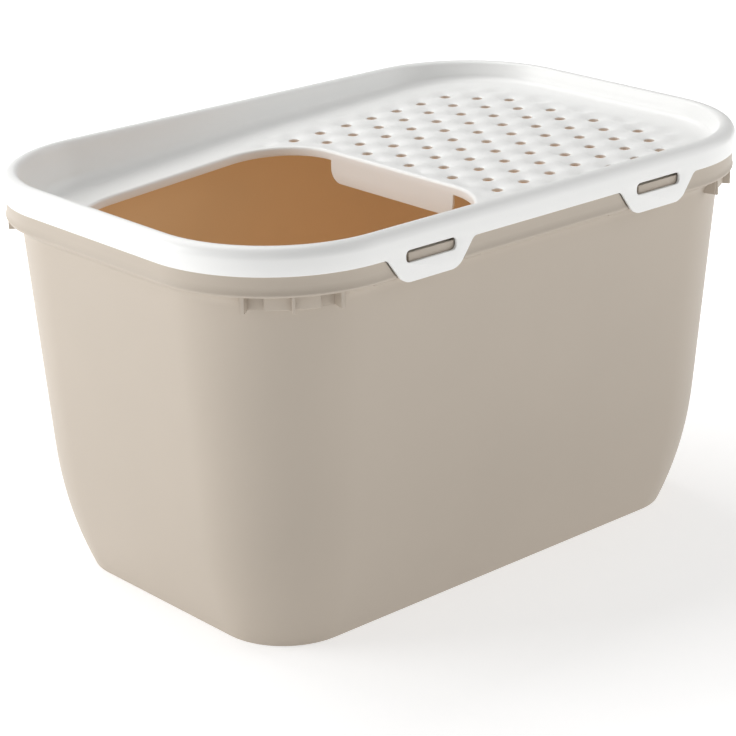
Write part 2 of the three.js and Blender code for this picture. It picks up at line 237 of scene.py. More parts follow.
def take_up(piece):
    """Makes a piece the only selected and active object."""
    deselect_all()
    piece.select_set(True)
    bpy.context.view_layer.objects.active = piece


def edit(piece):
    take_up(piece)
    bpy.ops.object.mode_set(mode="EDIT")


def choose(piece, kind, test):
    """Selects only the vertices, edges or faces that pass a test, in edit mode."""
    bpy.ops.mesh.select_mode(type=kind)
    bpy.ops.mesh.select_all(action="DESELECT")
    mesh = bmesh.from_edit_mesh(piece.data)
    elements = {"VERT": mesh.verts, "EDGE": mesh.edges, "FACE": mesh.faces}[kind]
    for element in elements:
        if test(element):
            element.select_set(True)
    mesh.select_flush_mode()
    bmesh.update_edit_mesh(piece.data)


def centre(element):
    return sum((vertex.co for vertex in element.verts), Vector()) / len(element.verts)


def at_height(vertex, height, slack=CLOSE):
    return abs(vertex.co.z - height) < slack


def is_sharp(edge, angle):
    """Whether the two faces of an edge meet at more than an angle."""
    return edge.is_manifold and edge.calc_face_angle() > angle


def place_in_mesh(piece):
    """Moves a piece's place, turn and size into its mesh."""
    take_up(piece)
    bpy.ops.object.transform_apply(location=True, rotation=True, scale=True)


def finish_with(piece, kind, **settings):
    """Adds a modifier with its settings and applies it."""
    take_up(piece)
    modifier = piece.modifiers.new(kind.title(), kind)
    for setting, value in settings.items():
        setattr(modifier, setting, value)
    bpy.ops.object.modifier_apply(modifier=modifier.name)


def combine(piece, tool, operation):
    """Joins a tool to a piece or cuts it away, and discards the tool."""
    finish_with(piece, "BOOLEAN", object=tool, operation=operation, solver="MANIFOLD")
    bpy.data.objects.remove(tool, do_unlink=True)


def start_block(name, low, high):
    """A box between two corners, with its place in its mesh."""
    deselect_all()
    low, high = Vector(low), Vector(high)
    bpy.ops.mesh.primitive_cube_add(size=1, location=(low + high) / 2)
    piece = bpy.context.object
    piece.name = name
    piece.scale = high - low
    place_in_mesh(piece)
    return piece


def round_corners(radius, segments):
    """Rounds the selected corners of a flat face."""
    bpy.ops.mesh.bevel(
        offset_type="OFFSET", offset=radius, segments=segments, profile=0.5, affect="VERTICES"
    )


def extrude(rise):
    """Draws out what is selected straight up, or down for a negative rise."""
    bpy.ops.mesh.extrude_region_move(TRANSFORM_OT_translate={"value": (0, 0, rise)})


def start_sheet(name, low, high, radius, segments):
    """A level sheet with round corners, left in edit mode with its face selected."""
    deselect_all()
    low, high = Vector(low), Vector(high)
    bpy.ops.mesh.primitive_plane_add(size=1, location=(low + high) / 2)
    piece = bpy.context.object
    piece.name = name
    piece.scale = (high.x - low.x, high.y - low.y, 1)
    place_in_mesh(piece)
    edit(piece)
    bpy.ops.mesh.select_all(action="SELECT")
    round_corners(radius, segments)
    bpy.ops.mesh.select_mode(type="FACE")
    bpy.ops.mesh.select_all(action="SELECT")
    return piece


def follow_profile(profile):
    """Raises the selected face through a profile of (inset, height along its normal)."""
    for (inset, height), (next_inset, next_height) in zip(profile, profile[1:]):
        bpy.ops.mesh.inset(
            thickness=next_inset - inset, depth=next_height - height, use_even_offset=True
        )


def name_piece(piece, name, body, slot, *nodes):
    """Names a finished piece, smooths it and ties it to the frame."""
    deselect_all()
    piece.name = name
    piece.data.name = name
    take_up(piece)
    bpy.ops.object.shade_smooth_by_angle(angle=SMOOTH_ANGLE)
    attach(piece, body)
    if nodes:
        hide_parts(*nodes)
    deselect_all()
    return piece


# ---------------- the tub


def wall_inset(tub, height):
    """How far the outside of the tub's wall stands inside the lid's edge at a height."""
    wall_top = tub.rim_height - tub.band_height - tub.cove_height
    lean = (wall_top - height) * math.tan(tub.draft)
    below = max(0.0, 1 - height / tub.foot_height)
    return tub.wall_inset + lean + tub.foot_inset * below**tub.foot_power


def tub_profile(tub):
    """The tub's outside from the rim down to the base, as (inset, drop below the rim)."""
    band = tub.band_inset
    band_bottom = tub.band_height
    wall_top = band_bottom + tub.cove_height
    rows = (band_bottom, band_bottom / 2, BEAD_TOP, *reversed(BEAD_ROWS), 0.0)
    profile = [(band, band_bottom - row) for row in rows]
    cove_steps = 8
    cove_power = 1.5
    for step in range(1, cove_steps + 1):
        angle = step / cove_steps * math.pi / 2
        inset = band + (tub.wall_inset - band) * math.sin(angle) ** cove_power
        profile.append((inset, band_bottom + tub.cove_height * (1 - math.cos(angle))))
    wall_steps = 6
    for step in range(1, wall_steps + 1):
        drop = wall_top + (tub.rim_height - tub.foot_height - wall_top) * step / wall_steps
        profile.append((wall_inset(tub, tub.rim_height - drop), drop))
    foot_steps = 14
    for step in range(1, foot_steps + 1):
        height = tub.foot_height * (1 - step / foot_steps)
        profile.append((wall_inset(tub, height), tub.rim_height - height))
    return profile


def corner_middle(envelope, sign_x, sign_y):
    return Vector(
        (
            sign_x * (envelope.length / 2 - envelope.corner_radius),
            sign_y * (envelope.width / 2 - envelope.corner_radius),
            0,
        )
    )


def grip_angle(tub, sign_x, sign_y):
    return math.atan2(
        sign_y * math.sin(tub.grip_direction), sign_x * math.cos(tub.grip_direction)
    )


def corner_sector(envelope, middle, insets, heights, angles):
    """A block that follows one corner between two insets, two heights and two angles."""
    outer = envelope.corner_radius - insets[0]
    inner = envelope.corner_radius - insets[1]
    low, high = heights
    deselect_all()
    bpy.ops.mesh.primitive_cylinder_add(
        vertices=4 * envelope.corner_segments,
        radius=outer,
        depth=high - low,
        location=middle + Vector((0, 0, (low + high) / 2)),
    )
    ring = bpy.context.object
    place_in_mesh(ring)
    edit(ring)
    choose(ring, "FACE", lambda face: abs(face.normal.z) > FACING)
    bpy.ops.mesh.inset(thickness=outer - inner)
    bpy.ops.mesh.bridge_edge_loops()
    for angle, sign in zip(angles, SIDES):
        bpy.ops.mesh.select_all(action="SELECT")
        across = Vector((-math.sin(angle), math.cos(angle), 0)) * sign
        bpy.ops.mesh.bisect(plane_co=middle, plane_no=across, use_fill=True, clear_outer=True)
    deselect_all()
    return ring


def colour_inner_faces(tool, colours, middle):
    """Gives the faces of a tool that look at a middle the material of the tub's inside."""
    tub_materials(tool, colours)
    for face in tool.data.polygons:
        outwards = (face.center - middle).xy.normalized()
        if face.normal.xy.dot(outwards) < -FACING:
            face.material_index = 1


def pocket_tools(envelope, tub, lid, clip_x, side):
    """The thick wall behind a clip, the cut that makes its pocket, and its catch."""
    backing_reach, backing_lap = 0.004, 0.0015
    pocket_room = 0.0012
    edge = side * envelope.width / 2
    half = lid.clip_root / 2 + backing_reach
    face = edge - side * tub.pocket_inset
    back = face - side * tub.wall
    front = edge - side * (tub.band_inset + tub.wall / 2)
    backing = start_block(
        "pocket_backing",
        (clip_x - half, min(front, back), tub.rim_height - tub.band_height - backing_lap),
        (clip_x + half, max(front, back), tub.rim_height),
    )
    pocket = clip_outline("pocket_cut", envelope, lid, pocket_room)
    finish_with(pocket, "SOLIDIFY", thickness=2 * tub.pocket_inset, offset=0, use_even_offset=True)
    pocket.location = (clip_x, edge, 0)
    place_in_mesh(pocket)
    catch_gap, catch_drop = 0.0003, 0.003
    catch_shift, catch_margin = 0.0025, 0.0025
    catch_top = envelope.hinge_height - lid.window_drop - catch_drop
    catch_face = edge - side * (lid.wall + catch_gap)
    catch_back = face - side * OVERLAP
    middle = clip_x + catch_shift
    half_catch = lid.window_width / 2 - catch_margin
    catch = start_block(
        "catch",
        (middle - half_catch, min(catch_face, catch_back), catch_top - lid.window_height),
        (middle + half_catch, max(catch_face, catch_back), catch_top),
    )
    finish_with(catch, "BEVEL", width=0.0006, segments=EDGE_STEPS)
    return backing, pocket, catch


def cut_grip(piece, envelope, tub, colours, sign_x, sign_y):
    """Hollows the cove into a corner's grip: two deep ends, a panel and three ribs."""
    middle = corner_middle(envelope, sign_x, sign_y)
    along = grip_angle(tub, sign_x, sign_y)
    half = tub.grip_half_angle
    band_bottom = tub.rim_height - tub.band_height
    cove_bottom = band_bottom - tub.cove_height
    rib_face = tub.band_inset + 0.0006
    wall_face = tub.wall_inset + 0.0001
    inner_face = wall_face + OVERLAP
    beyond_edge = -0.005

    def block(insets, heights, first, last):
        angles = (along + first, along + last)
        return corner_sector(envelope, middle, insets, heights, angles)

    def add_rounded(added, radius):
        finish_with(added, "BEVEL", width=radius, segments=EDGE_STEPS)
        combine(piece, added, "UNION")

    backing_step, backing_wall, backing_rise = 0.0015, 0.003, 0.0026
    backing_half = half + math.radians(1.6)
    backing = block(
        (rib_face + backing_step, wall_face + backing_wall),
        (cove_bottom - 2 * NEAR, band_bottom + backing_rise),
        -backing_half,
        backing_half,
    )
    colour_inner_faces(backing, colours, middle)
    combine(piece, backing, "UNION")
    notch = block((beyond_edge, wall_face), (cove_bottom - 3 * NEAR, band_bottom), -half, half)
    combine(piece, notch, "DIFFERENCE")
    panel_half = half - math.radians(7.5)
    panel_insets = (tub.grip_panel_inset, inner_face)
    panel_heights = (cove_bottom, band_bottom + OVERLAP)
    add_rounded(block(panel_insets, panel_heights, -panel_half, panel_half), 0.0012)
    rib_half = math.radians(0.62)
    rib_heights = (cove_bottom - OVERLAP, band_bottom + OVERLAP)
    for place in (-half, 0.0, half):
        rib = block((rib_face, inner_face), rib_heights, place - rib_half, place + rib_half)
        add_rounded(rib, 0.0008)


def build_tub(context):
    envelope = context.scene.litter_box_envelope
    tub = context.scene.litter_box_tub
    lid = context.scene.litter_box_lid
    half_x = envelope.length / 2 - tub.band_inset
    half_y = envelope.width / 2 - tub.band_inset
    piece = start_sheet(
        "tub_shell",
        (-half_x, -half_y, tub.rim_height),
        (half_x, half_y, tub.rim_height),
        envelope.corner_radius - tub.band_inset,
        envelope.corner_segments,
    )
    bpy.ops.mesh.flip_normals()
    follow_profile(tub_profile(tub))
    beads = [tub.rim_height - tub.band_height + row for row in BEAD_ROWS]
    choose(piece, "VERT", lambda vertex: any(at_height(vertex, bead, NEAR) for bead in beads))
    bpy.ops.transform.shrink_fatten(value=tub.bead)
    deselect_all()
    colours = context.scene.litter_box_colours
    tub_materials(piece, colours)
    finish_with(
        piece,
        "SOLIDIFY",
        thickness=tub.wall,
        offset=-1,
        use_even_offset=True,
        material_offset=1,
        material_offset_rim=0,
    )
    for clip_x in (-envelope.clip_x, envelope.clip_x):
        for side in SIDES:
            backing, pocket, catch = pocket_tools(envelope, tub, lid, clip_x, side)
            colour_inner_faces(backing, colours, Vector((clip_x, 0, 0)))
            combine(piece, backing, "UNION")
            combine(piece, pocket, "DIFFERENCE")
            combine(piece, catch, "UNION")
    for sign_x in SIDES:
        for sign_y in SIDES:
            cut_grip(piece, envelope, tub, colours, sign_x, sign_y)
    return name_piece(piece, "tub_shell", "tub", "tub_plastic", "tub")


# ---------------- the lid


def rim_distance(envelope, x, y):
    """How far a place stands inside the lid's outer edge, seen from above."""
    half_x, half_y = envelope.length / 2, envelope.width / 2
    corner_x = max(0.0, abs(x) - (half_x - envelope.corner_radius))
    corner_y = max(0.0, abs(y) - (half_y - envelope.corner_radius))
    round_part = envelope.corner_radius - math.hypot(corner_x, corner_y)
    return min(round_part, half_x - abs(x), half_y - abs(y))


def entry_distance(envelope, lid, x, y):
    """How far a place on the deck's side stands outside the entry, seen from above."""
    half = envelope.width / 2 - lid.entry_side
    ahead = max(0.0, x - (lid.deck_edge - lid.entry_radius))
    beside = max(0.0, abs(y) - (half - lid.entry_radius))
    return math.hypot(ahead, beside) - lid.entry_radius


def smooth_step(value, low, high):
    share = min(1.0, max(0.0, (value - low) / (high - low)))
    return share * share * (3 - 2 * share)


def deck_depth(lid, x):
    """How deep the deck lies below the rim at a place along the length."""
    bend = 0.03
    ahead = x - lid.deck_edge
    share = smooth_step(ahead, -bend, bend)
    return lid.deck_drop - ahead * (lid.entry_slope * (1 - share) + lid.deck_slope * share)


def hole_places(envelope, lid):
    """The middles of the holes: staggered rows wherever the deck leaves room."""
    rows = int(envelope.width / 2 / lid.row_pitch)
    columns = math.ceil(envelope.length / lid.hole_pitch)
    places = []
    for row in range(-rows, rows + 1):
        stagger = lid.hole_pitch / 2 if row % 2 else 0.0
        for column in range(-2, columns):
            x = lid.deck_edge + lid.first_hole + stagger + column * lid.hole_pitch
            y = row * lid.row_pitch
            inside = rim_distance(envelope, x, y) >= lid.rim_margin
            if inside and entry_distance(envelope, lid, x, y) >= lid.entry_margin:
                places.append((x, y))
    return places


def quilting(envelope, lid, x, y):
    """From 0 on a soft bump of the deck to 1 at a hole, fading out at the deck's edges."""
    rim_fade = (0.036, 0.056)
    entry_fade = (0.003, 0.013)
    lowest, highest = -1.5, 3.0
    along = math.tau / lid.hole_pitch * (x - lid.deck_edge - lid.first_hole)
    across = math.tau / lid.row_pitch * y
    waves = math.cos(along - across / 2) + math.cos(across) + math.cos(along + across / 2)
    inside = smooth_step(rim_distance(envelope, x, y), *rim_fade)
    beyond = smooth_step(entry_distance(envelope, lid, x, y), *entry_fade)
    return (waves - lowest) / (highest - lowest) * inside * beyond


def lid_profile(envelope, lid):
    """The lid's outside from the bottom of the skirt over the rim to the deck."""
    skirt, crest = lid.skirt, lid.crest
    root = envelope.hinge_height - envelope.height + skirt
    profile = [(0.0, 0.0), (0.0, root), (0.0, skirt - crest)]
    crest_steps = 10
    for step in range(1, crest_steps + 1):
        angle = step / crest_steps * math.pi / 2
        inset = crest * (1 - math.cos(angle))
        profile.append((inset, skirt - crest + crest * math.sin(angle)))
    inner_round = 0.005
    inner_turn = math.radians(80)
    inner_steps = 6
    for step in range(1, inner_steps + 1):
        angle = step / inner_steps * inner_turn
        inset = crest + inner_round * math.sin(angle)
        profile.append((inset, skirt - inner_round * (1 - math.cos(angle))))
    slope_run = 0.0035
    foot = crest + inner_round + slope_run
    profile.append((foot - slope_run / 2, skirt - lid.deck_drop / 2))
    cove = 0.010
    cove_steps = 8
    for step in range(cove_steps + 1):
        angle = step / cove_steps * math.pi / 2
        inset = foot + cove * (1 - math.cos(angle))
        profile.append((inset, skirt - lid.deck_drop + cove * (1 - math.sin(angle))))
    return profile


def cut_across(piece, test, places, normal):
    """Cuts the faces that pass a test at each place along a direction."""
    for place in places:
        choose(piece, "FACE", test)
        bpy.ops.mesh.bisect(plane_co=normal * place, plane_no=normal)


def spread(low, high, pitch):
    """Evenly spaced places from low to high, about a pitch apart."""
    count = max(1, round((high - low) / pitch))
    return [low + (high - low) * index / count for index in range(count + 1)]


def hole_collars(envelope, lid, deck_height):
    """A narrow flat ring round each hole, all in one mesh."""
    deselect_all()
    bpy.ops.mesh.primitive_circle_add(vertices=24, radius=lid.hole / 2)
    ring = bpy.context.object
    edit(ring)
    bpy.ops.mesh.select_all(action="SELECT")
    bpy.ops.mesh.extrude_region_move()
    bpy.ops.transform.resize(value=(COLLAR, COLLAR, 1))
    deselect_all()
    for x, y in hole_places(envelope, lid):
        copy = ring.copy()
        copy.data = ring.data.copy()
        copy.location = (x, y, deck_height)
        bpy.context.collection.objects.link(copy)
        copy.select_set(True)
    bpy.data.objects.remove(ring, do_unlink=True)
    bpy.context.view_layer.objects.active = copy
    bpy.ops.object.join()
    place_in_mesh(copy)
    return copy


def open_deck(piece, envelope, lid, deck_height):
    """Replaces the selected deck face by a floor with the entry and the holes left open."""
    bpy.ops.mesh.delete(type="ONLY_FACE")
    start = lid.entry_end - envelope.length / 2
    half = envelope.width / 2 - lid.entry_side
    middle = ((start + lid.deck_edge) / 2, 0, deck_height)
    bpy.ops.mesh.primitive_plane_add(size=1, location=middle)
    sizes = (lid.deck_edge - start + 2 * ENTRY_BORDER, 2 * (half + ENTRY_BORDER), 1)
    bpy.ops.transform.resize(value=sizes)
    round_corners(lid.entry_radius + ENTRY_BORDER, envelope.corner_segments)
    bpy.ops.mesh.select_mode(type="FACE")
    bpy.ops.mesh.inset(thickness=ENTRY_BORDER)
    bpy.ops.mesh.delete(type="ONLY_FACE")
    collars = hole_collars(envelope, lid, deck_height)
    take_up(piece)
    collars.select_set(True)
    bpy.ops.object.join()
    edit(piece)
    places = hole_places(envelope, lid)
    inside_collar = (COLLAR - 0.1) * lid.hole / 2

    def at_hole(vertex):
        x, y, _ = vertex.co
        return any(math.hypot(x - at_x, y - at_y) < inside_collar for at_x, at_y in places)

    def to_fill(edge):
        if not (edge.is_boundary or edge.is_wire) or at_hole(edge.verts[0]):
            return False
        return all(
            at_height(vertex, deck_height, EXACT) and outside_entry(envelope, lid, vertex) > NEAR
            for vertex in edge.verts
        )

    choose(piece, "EDGE", to_fill)
    bpy.ops.mesh.fill(use_beauty=True)
    bpy.ops.mesh.select_all(action="SELECT")
    bpy.ops.mesh.normals_make_consistent(inside=False)


def turn_down_lip(piece, envelope, lid, deck_height):
    """Turns the entry's edge down into a lip, and hangs the apron on its deck side."""
    half = envelope.width / 2 - lid.entry_side - lid.entry_radius + 5 * NEAR

    def at_entry(vertex):
        return abs(outside_entry(envelope, lid, vertex)) < NEAR

    def on_deck_side(vertex):
        return abs(vertex.co.x - lid.deck_edge) < NEAR and abs(vertex.co.y) < half

    def open_edge(edge):
        return edge.is_boundary and all(at_entry(vertex) for vertex in edge.verts)

    choose(piece, "EDGE", open_edge)
    extrude(-lid.lip)
    choose(piece, "EDGE", lambda e: open_edge(e) and all(on_deck_side(v) for v in e.verts))
    extrude(lid.lip - lid.apron)
    choose(piece, "VERT", lambda vertex: at_height(vertex, deck_height - lid.apron))
    round_corners(lid.apron_radius, CORNER_STEPS)
    choose(
        piece, "EDGE", lambda e: all(at_entry(v) and at_height(v, deck_height) for v in e.verts)
    )
    bpy.ops.mesh.bevel(offset=0.0024, segments=4, affect="EDGES")


def entry_outline_distance(envelope, lid, x, y):
    """How far a place stands outside the entry's outline, seen from above."""
    start = lid.entry_end - envelope.length / 2
    middle_x = (start + lid.deck_edge) / 2
    half_x = (lid.deck_edge - start) / 2 - lid.entry_radius
    half_y = envelope.width / 2 - lid.entry_side - lid.entry_radius
    beside_x = max(0.0, abs(x - middle_x) - half_x)
    beside_y = max(0.0, abs(y) - half_y)
    return math.hypot(beside_x, beside_y) - lid.entry_radius


def outside_entry(envelope, lid, vertex):
    return entry_outline_distance(envelope, lid, vertex.co.x, vertex.co.y)


def sink_deck(piece, envelope, lid):
    """Slopes the dish's floor, and hollows it round the holes."""
    deselect_all()
    hollows = piece.vertex_groups.new(name="hollows")
    for vertex in piece.data.vertices:
        x, y, z = vertex.co
        if rim_distance(envelope, x, y) > lid.crest:
            share = min(1.0, (envelope.height - z) / lid.deck_drop)
            vertex.co.z -= share * (deck_depth(lid, x) - lid.deck_drop)
        if x > lid.deck_edge - lid.entry_radius and z > envelope.height - lid.deck_drop - CLOSE:
            weight = quilting(envelope, lid, x, y)
            if weight > 0:
                hollows.add([vertex.index], weight, "REPLACE")
    finish_with(
        piece,
        "DISPLACE",
        vertex_group="hollows",
        direction="Z",
        strength=-lid.quilt,
        mid_level=0,
    )


def locating_rib(envelope, tub, lid):
    """The ring under the lid that sits inside the tub's rim."""
    gap = 0.0006
    reach = 0.009
    thickness = 0.002
    inset = tub.pocket_inset + tub.wall + gap
    half_x, half_y = envelope.length / 2 - inset, envelope.width / 2 - inset
    low = envelope.height - lid.skirt - reach
    ring = start_sheet(
        "lid_locating_rib",
        (-half_x, -half_y, low),
        (half_x, half_y, low),
        envelope.corner_radius - inset,
        envelope.corner_segments,
    )
    bpy.ops.mesh.inset(thickness=thickness)
    bpy.ops.mesh.delete(type="FACE")
    bpy.ops.mesh.select_all(action="SELECT")
    extrude(envelope.height - lid.wall - low)
    bpy.ops.mesh.select_all(action="SELECT")
    bpy.ops.mesh.normals_make_consistent(inside=False)
    deselect_all()
    return ring


def grade_lid(piece, envelope, lid, deck_height):
    """Cuts the lid into cells, coarse on the rim and fine on the deck, so that it can bend."""
    coarse, middling, fine = 0.024, 0.016, 0.004
    rim_run = 0.03
    collar_edge = 0.26 * lid.hole
    along, across = Vector((1, 0, 0)), Vector((0, 1, 0))
    straight = envelope.length / 2 - envelope.corner_radius
    far_end = envelope.length / 2 - rim_run
    reach = envelope.width / 2 - rim_run
    deck_start = lid.deck_edge - lid.entry_radius
    clip_sides = (envelope.clip_x - lid.clip_root / 2, envelope.clip_x + lid.clip_root / 2)

    def in_collar(face):
        return max(edge.calc_length() for edge in face.edges) < collar_edge

    def on_floor(face):
        return abs(face.calc_center_median().z - deck_height) < CLOSE

    def on_deck(face):
        return on_floor(face) and face.calc_center_median().x > deck_start

    def in_border(face):
        x, y, _ = face.calc_center_median()
        distance = entry_outline_distance(envelope, lid, x, y)
        return on_deck(face) and distance < ENTRY_BORDER - NEAR

    choose(piece, "FACE", in_collar)
    bpy.ops.mesh.hide()
    ends = [side * place for side in SIDES for place in clip_sides]
    cut_across(piece, lambda face: True, spread(-straight, straight, coarse)[1:-1] + ends, along)
    cut_across(piece, on_floor, spread(-far_end, deck_start, middling), along)
    choose(piece, "FACE", in_border)
    bpy.ops.mesh.hide()
    cut_across(piece, on_deck, spread(-reach, reach, fine)[1:-1], across)
    cut_across(piece, on_deck, spread(deck_start, far_end, fine)[1:-1], along)
    bpy.ops.mesh.reveal()
    bpy.ops.mesh.select_all(action="SELECT")
    bpy.ops.mesh.remove_doubles(threshold=2 * NEAR)
    bpy.ops.mesh.dissolve_degenerate(threshold=NEAR)


def open_clip_slots(piece, envelope, lid):
    """Takes the skirt away where the clips hang."""

    def in_slot(face):
        x, y, z = centre(face)
        on_skirt = rim_distance(envelope, x, y) < NEAR and abs(face.normal.y) > FACING
        beside_clip = abs(abs(x) - envelope.clip_x) < lid.clip_root / 2
        return z < envelope.hinge_height and on_skirt and beside_clip

    choose(piece, "FACE", in_slot)
    bpy.ops.mesh.delete(type="FACE")


def round_lid_edges(piece, envelope, lid, deck_height):
    """Rounds the edges of the skirt, the lip, the apron and the perforation."""
    corner = math.radians(55)
    skirt_bottom = envelope.height - lid.skirt
    lip_top = deck_height - 0.004
    lip_width = lid.wall + 0.001
    perforation_start = -0.04
    upwards = 0.7

    def at_bottom(edge):
        return all(at_height(vertex, skirt_bottom) for vertex in edge.verts)

    def in_lip(edge):
        return all(outside_entry(envelope, lid, vertex) < lip_width for vertex in edge.verts)

    def low_edge(edge):
        low = max(vertex.co.z for vertex in edge.verts) < lip_top
        return is_sharp(edge, corner) and (at_bottom(edge) or (low and in_lip(edge)))

    def hole_edge(edge):
        if not is_sharp(edge, corner) or in_lip(edge):
            return False
        on_top = max(face.normal.z for face in edge.link_faces) > upwards
        return on_top and centre(edge).x > perforation_start

    edit(piece)
    choose(piece, "EDGE", low_edge)
    bpy.ops.mesh.bevel(offset=0.0008, segments=EDGE_STEPS, affect="EDGES")
    choose(piece, "EDGE", hole_edge)
    bpy.ops.mesh.bevel(offset=0.0005, segments=EDGE_STEPS, affect="EDGES")


def build_lid(context):
    envelope = context.scene.litter_box_envelope
    tub = context.scene.litter_box_tub
    lid = context.scene.litter_box_lid
    colours = context.scene.litter_box_colours
    skirt_bottom = envelope.height - lid.skirt
    deck_height = envelope.height - lid.deck_drop
    piece = start_sheet(
        "lid_shell",
        (-envelope.length / 2, -envelope.width / 2, skirt_bottom),
        (envelope.length / 2, envelope.width / 2, skirt_bottom),
        envelope.corner_radius,
        envelope.corner_segments,
    )
    follow_profile(lid_profile(envelope, lid))
    open_deck(piece, envelope, lid, deck_height)
    turn_down_lip(piece, envelope, lid, deck_height)
    grade_lid(piece, envelope, lid, deck_height)
    open_clip_slots(piece, envelope, lid)
    sink_deck(piece, envelope, lid)
    lid_materials(piece, colours)
    finish_with(piece, "SOLIDIFY", thickness=lid.wall, offset=-1, use_quality_normals=True)
    round_lid_edges(piece, envelope, lid, deck_height)
    name_piece(piece, "lid_shell", "lid", "lid_plastic", "lid")
    rib = locating_rib(envelope, tub, lid)
    lid_materials(rib, colours)
    name_piece(rib, "lid_locating_rib", "lid", "lid_plastic")


# ---------------- the clips


def upright_sheet(name, width, low, high):
    """A sheet in the XZ plane that faces the front, left in edit mode."""
    deselect_all()
    bpy.ops.mesh.primitive_plane_add(
        size=1, location=(0, 0, (low + high) / 2), rotation=(math.pi / 2, 0, 0)
    )
    piece = bpy.context.object
    piece.name = name
    piece.scale = (width, high - low, 1)
    place_in_mesh(piece)
    edit(piece)
    return piece


def clip_outline(name, envelope, lid, margin):
    """The flat outline of a clip, with its root at the top, widened by a margin."""
    outline_steps = 10
    shoulder_share = 0.23
    skirt_bottom = envelope.height - lid.skirt
    toe_height = CLIP_LOW.z - margin
    shoulder = lid.clip_shoulder / 2 + margin
    toe = lid.clip_toe / 2 + margin
    width = lid.clip_root + 2 * margin

    def at_shoulder(vertex):
        return at_height(vertex, skirt_bottom, EXACT) and abs(vertex.co.x) < shoulder + EXACT

    piece = upright_sheet(name, width, skirt_bottom, envelope.hinge_height)
    for place in (-shoulder, shoulder):
        bpy.ops.mesh.select_all(action="SELECT")
        bpy.ops.mesh.bisect(plane_co=(place, 0, 0), plane_no=(1, 0, 0))
    choose(piece, "EDGE", lambda edge: all(at_shoulder(vertex) for vertex in edge.verts))
    extrude(toe_height - skirt_bottom)
    bpy.ops.transform.resize(value=(toe / shoulder, 1, 1), center_override=(0, 0, toe_height))
    bpy.ops.mesh.select_mode(type="FACE")
    bpy.ops.mesh.select_all(action="SELECT")
    bpy.ops.mesh.dissolve_faces(use_verts=False)
    choose(piece, "VERT", lambda vertex: at_height(vertex, toe_height, EXACT))
    round_corners(lid.clip_fillet, outline_steps)
    choose(piece, "VERT", at_shoulder)
    round_corners(shoulder_share * (lid.clip_root - lid.clip_shoulder), outline_steps)
    deselect_all()
    return piece


def window_tool(envelope, lid):
    top = envelope.hinge_height - lid.window_drop
    tool = upright_sheet("window", lid.window_width, top - lid.window_height, top)
    bpy.ops.mesh.select_all(action="SELECT")
    round_corners(lid.window_radius, CORNER_STEPS)
    deselect_all()
    finish_with(tool, "SOLIDIFY", thickness=4 * lid.wall, offset=0)
    return tool


def build_clip(context, face, end):
    """One clip tab with its window, flush with the skirt of the lid."""
    envelope = context.scene.litter_box_envelope
    lid = context.scene.litter_box_lid
    piece = clip_outline("clip", envelope, lid, -SEAM)
    lid_materials(piece, context.scene.litter_box_colours)
    finish_with(piece, "SOLIDIFY", thickness=lid.wall, offset=-1)
    combine(piece, window_tool(envelope, lid), "DIFFERENCE")
    corner = math.radians(60)
    below_skirt = envelope.height - lid.skirt + CLOSE
    window_top = envelope.hinge_height - lid.window_drop + CLOSE
    window_half = lid.window_width / 2 + CLOSE

    def can_round(vertex):
        in_window = abs(vertex.co.x) < window_half and vertex.co.z < window_top
        return in_window or vertex.co.z < below_skirt

    def outline_edge(edge):
        first, last = edge.verts
        in_face = abs(first.co.y - last.co.y) < EXACT
        return in_face and is_sharp(edge, corner) and can_round(first) and can_round(last)

    edit(piece)
    choose(piece, "EDGE", outline_edge)
    bpy.ops.mesh.bevel(offset=0.0006, segments=EDGE_STEPS, affect="EDGES")
    side = CLIP_FACES[face]
    deselect_all()
    piece.location = (CLIP_ENDS[end] * envelope.clip_x, side * envelope.width / 2, 0)
    piece.rotation_euler.z = math.pi if side > 0 else 0.0
    place_in_mesh(piece)
    body = f"clip_{face}_{end}"
    return name_piece(piece, f"{body}_tab", body, "lid_plastic", body)


# ---------------- materials


def new_material(name, colour):
    """A material with its shader, ready for its pattern nodes."""
    material = bpy.data.materials.new(name)
    material.use_nodes = True
    shader = material.node_tree.nodes["Principled BSDF"]
    shader.inputs["Base Color"].default_value = (*colour, 1)
    return material, material.node_tree, shader


def add_noise(tree, scale, detail, roughness=0.5):
    """A noise pattern in the object's own space."""
    place = tree.nodes.new("ShaderNodeTexCoord")
    noise = tree.nodes.new("ShaderNodeTexNoise")
    noise.inputs["Scale"].default_value = scale
    noise.inputs["Detail"].default_value = detail
    noise.inputs["Roughness"].default_value = roughness
    tree.links.new(place.outputs["Object"], noise.inputs["Vector"])
    return noise


def map_range(tree, source, low, high, start=0.3, end=0.7):
    """Maps a value from one range to another. A noise lies mostly between the defaults."""
    mapped = tree.nodes.new("ShaderNodeMapRange")
    mapped.inputs["From Min"].default_value = start
    mapped.inputs["From Max"].default_value = end
    mapped.inputs["To Min"].default_value = low
    mapped.inputs["To Max"].default_value = high
    tree.links.new(source, mapped.inputs["Value"])
    return mapped.outputs["Result"]


def add_bump(tree, shader, height, distance, strength):
    bump = tree.nodes.new("ShaderNodeBump")
    bump.inputs["Distance"].default_value = distance
    bump.inputs["Strength"].default_value = strength
    tree.links.new(height, bump.inputs["Height"])
    tree.links.new(bump.outputs["Normal"], shader.inputs["Normal"])


def vary_colour(tree, shader, colour, pattern, amount):
    """Lets a colour drift a little lighter and darker with a pattern."""
    mix = tree.nodes.new("ShaderNodeMix")
    mix.data_type = "RGBA"
    mix.inputs["A"].default_value = (*(channel * (1 - amount) for channel in colour), 1)
    mix.inputs["B"].default_value = (*(channel * (1 + amount) for channel in colour), 1)
    tree.links.new(pattern, mix.inputs["Factor"])
    tree.links.new(mix.outputs["Result"], shader.inputs["Base Color"])


